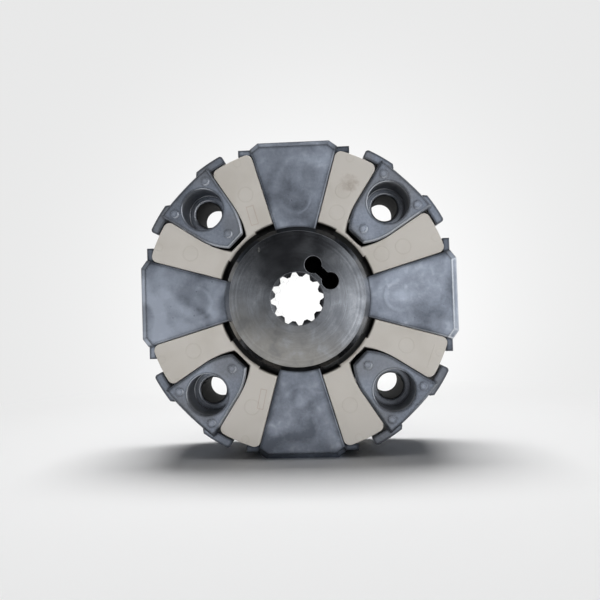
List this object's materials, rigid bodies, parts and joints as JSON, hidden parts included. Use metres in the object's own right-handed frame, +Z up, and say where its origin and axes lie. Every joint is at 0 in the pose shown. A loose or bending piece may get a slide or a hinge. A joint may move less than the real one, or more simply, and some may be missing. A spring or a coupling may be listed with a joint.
{
  "type": "hydraulic pump coupling",
  "caption": "Flexible flange coupling for a hydraulic pump: splined steel hub with cast radial and flywheel inserts and cream rubber blocks between them.",
  "frame": {"origin": "on the coupling's axis, halfway along the hub", "axes": "+Y along the axis from the bolt-head side to the flywheel, +Z up through a radial insert, standing on the lowest radial insert's flat"},
  "size_m": [0.2, 0.06, 0.2],
  "materials": {
    "turned_steel": "turned, dark, lightly oiled",
    "cast_aluminium": "die cast, tumbled, blue-grey and mottled",
    "cream_rubber": "moulded, smooth, matt cream",
    "black_screw_steel": "black oxide",
    "spring_steel": "rolled spring steel"
  },
  "bodies": {
    "hub_side": {"hub": "turned_steel", "clamp_screw": "black_screw_steel", "radial_insert_top": "cast_aluminium", "radial_bolt_top": "black_screw_steel", "roll_pin_top_front": "spring_steel", "roll_pin_top_rear": "spring_steel", "radial_insert_right": "cast_aluminium", "radial_bolt_right": "black_screw_steel", "roll_pin_right_front": "spring_steel", "roll_pin_right_rear": "spring_steel", "radial_insert_bottom": "cast_aluminium", "radial_bolt_bottom": "black_screw_steel", "roll_pin_bottom_front": "spring_steel", "roll_pin_bottom_rear": "spring_steel", "radial_insert_left": "cast_aluminium", "radial_bolt_left": "black_screw_steel", "roll_pin_left_front": "spring_steel", "roll_pin_left_rear": "spring_steel"},
    "flywheel_side": {"flywheel_insert_1": "cast_aluminium", "element_1": "cream_rubber", "flywheel_insert_2": "cast_aluminium", "element_2": "cream_rubber", "flywheel_insert_3": "cast_aluminium", "element_3": "cream_rubber", "flywheel_insert_4": "cast_aluminium", "element_4": "cream_rubber"}
  },
  "joints": [
    {"name": "wind_up", "type": "hinge", "parent": "hub_side", "child": "flywheel_side", "pos_m": [0, 0, 0], "axis": [0, 1, 0], "range_deg": [-2, 2], "stiffness_Nm_per_rad": 300, "deforming": ["element_1", "element_2", "element_3", "element_4"]}
  ]
}
